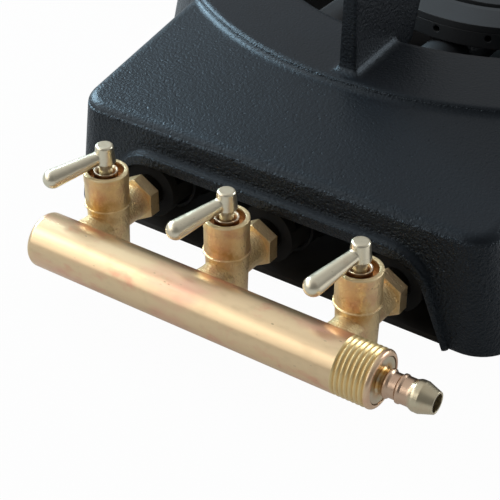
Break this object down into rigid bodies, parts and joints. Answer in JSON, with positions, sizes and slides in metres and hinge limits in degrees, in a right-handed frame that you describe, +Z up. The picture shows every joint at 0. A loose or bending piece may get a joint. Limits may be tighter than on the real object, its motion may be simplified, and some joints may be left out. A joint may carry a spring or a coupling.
{
  "type": "cast iron gas stove",
  "caption": "Low cast iron gas stove: flat ring on hollow arched legs with upright pot support fins, ring burners inside, and a brass manifold with lever valves and a hose nozzle in front.",
  "frame": {"origin": "on the floor, under the common axis of the ring and the burners", "axes": "+X to the right seen from the valves, +Y to the back, +Z up"},
  "size_m": [0.4142, 0.4203, 0.108],
  "materials": {
    "iron": "blue-black satin coat over a sand-cast skin",
    "burner_iron": "plain machined and cast iron, dark",
    "brass": "rough cast and turned brass with reddish patches",
    "plated": "pale satin nickel plate",
    "steel": "dull rolled steel",
    "black_steel": "matt black paint on sheet steel",
    "spring_steel": "bright drawn wire",
    "zinc": "zinc plated"
  },
  "bodies": {
    "stove": {"stove_casting": "iron", "outer_ring_burner": "burner_iron", "middle_ring_burner": "burner_iron", "centre_burner": "burner_iron", "outer_ring_cap": "burner_iron", "middle_ring_cap": "burner_iron", "centre_burner_cap": "burner_iron", "burner_rest": "steel", "tube_hanger_bar": "steel", "rest_bolts": "zinc", "burner_bolts": "zinc", "hanger_bolts": "zinc", "clip_bolts": "zinc", "clip_nuts": "zinc", "manifold_pipe": "brass", "pipe_end_plug": "brass", "hose_nozzle": "brass", "base_plate": "black_steel", "base_screws": "zinc", "tube_clip_left": "steel", "valve_body_left": "brass", "valve_spring_left": "spring_steel", "retaining_ring_left": "brass", "gas_jet_left": "brass", "lock_nut_left": "brass", "tube_clip_centre": "steel", "valve_body_centre": "brass", "valve_spring_centre": "spring_steel", "retaining_ring_centre": "brass", "gas_jet_centre": "brass", "lock_nut_centre": "brass", "tube_clip_right": "steel", "valve_body_right": "brass", "valve_spring_right": "spring_steel", "retaining_ring_right": "brass", "gas_jet_right": "brass", "lock_nut_right": "brass"},
    "lever_left": {"valve_lever_left": "plated", "valve_plug_left": "brass"},
    "shutter_left": {"air_shutter_left": "steel"},
    "lever_centre": {"valve_lever_centre": "plated", "valve_plug_centre": "brass"},
    "shutter_centre": {"air_shutter_centre": "steel"},
    "lever_right": {"valve_lever_right": "plated", "valve_plug_right": "brass"},
    "shutter_right": {"air_shutter_right": "steel"}
  },
  "joints": [
    {"name": "valve_turn_left", "type": "hinge", "parent": "stove", "child": "lever_left", "pos_m": [-0.054, -0.2147, 0.018], "axis": [0, 0, -1], "range_deg": [-30.6, 59.4]},
    {"name": "shutter_turn_left", "type": "hinge", "parent": "stove", "child": "shutter_left", "pos_m": [-0.054, -0.1718, 0.0189], "axis": [0, -1, 0], "range_deg": [0, 80]},
    {"name": "valve_turn_centre", "type": "hinge", "parent": "stove", "child": "lever_centre", "pos_m": [0, -0.2147, 0.018], "axis": [0, 0, -1], "range_deg": [-23.5, 66.5]},
    {"name": "shutter_turn_centre", "type": "hinge", "parent": "stove", "child": "shutter_centre", "pos_m": [0, -0.1718, 0.0189], "axis": [0, -1, 0], "range_deg": [0, 80]},
    {"name": "valve_turn_right", "type": "hinge", "parent": "stove", "child": "lever_right", "pos_m": [0.054, -0.2147, 0.018], "axis": [0, 0, -1], "range_deg": [-17, 73]},
    {"name": "shutter_turn_right", "type": "hinge", "parent": "stove", "child": "shutter_right", "pos_m": [0.054, -0.1718, 0.0189], "axis": [0, -1, 0], "range_deg": [0, 80]}
  ]
}
